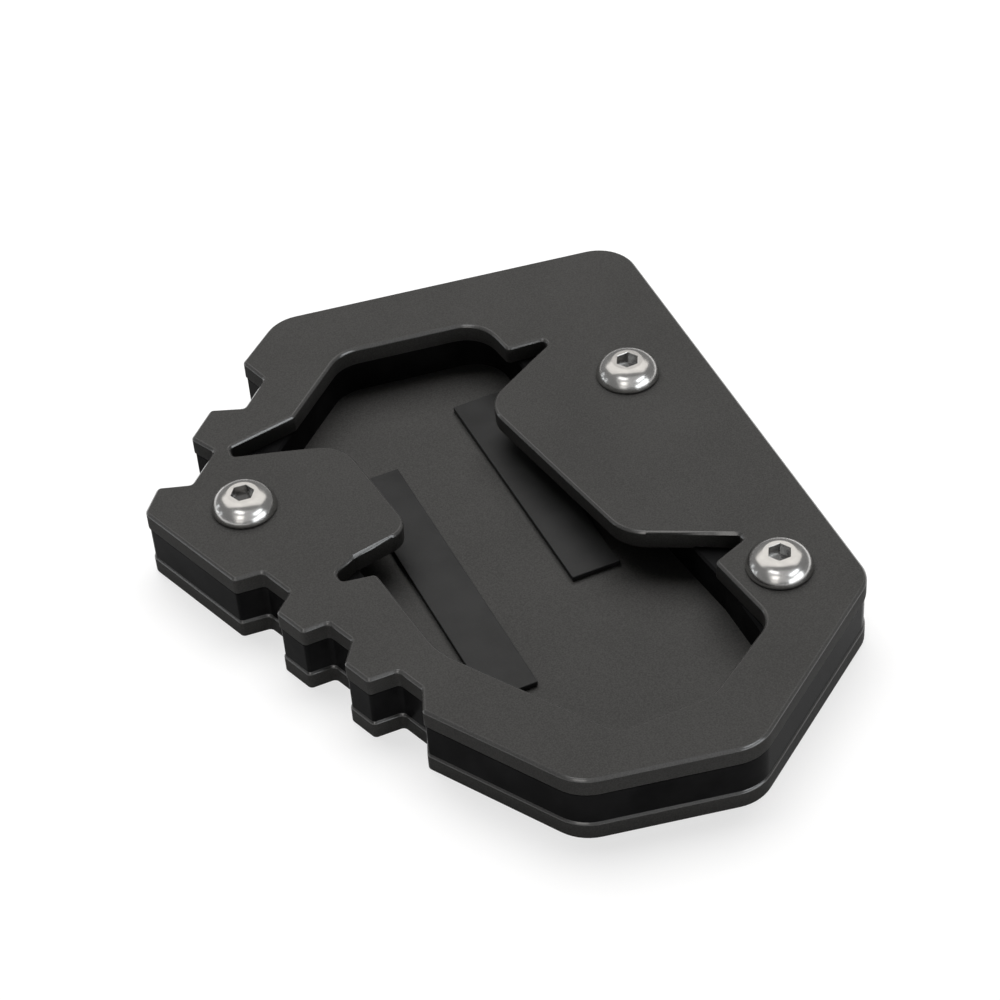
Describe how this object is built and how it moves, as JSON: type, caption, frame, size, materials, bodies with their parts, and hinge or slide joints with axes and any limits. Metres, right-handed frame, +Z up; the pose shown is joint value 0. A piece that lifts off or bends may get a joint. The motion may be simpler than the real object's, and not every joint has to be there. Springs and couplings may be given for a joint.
{
  "type": "kickstand foot enlarger",
  "caption": "Flat notched foot for a motorbike's side stand: black plates with a spacer ring between them, an open pocket with bent clamping tabs, and button-head screws.",
  "frame": {"origin": "middle of the outline's box, at the underside of the base plate", "axes": "+Y to the rear along the plates' length, +X to the right seen from above, +Z up through the plates"},
  "size_m": [0.0876, 0.1115, 0.0143],
  "materials": {
    "black_plate": "fine-textured satin black powder coat",
    "black_spacer": "smooth black anodising",
    "black_pad": "smooth dark strip",
    "polished_screw": "polished stainless steel"
  },
  "bodies": {
    "root": {"base_plate": "black_plate", "spacer_frame": "black_spacer", "clamp_plate": "black_plate", "pad_left": "black_pad", "pad_right": "black_pad", "screw_left": "polished_screw", "screw_rear": "polished_screw", "screw_right": "polished_screw"}
  },
  "joints": []
}
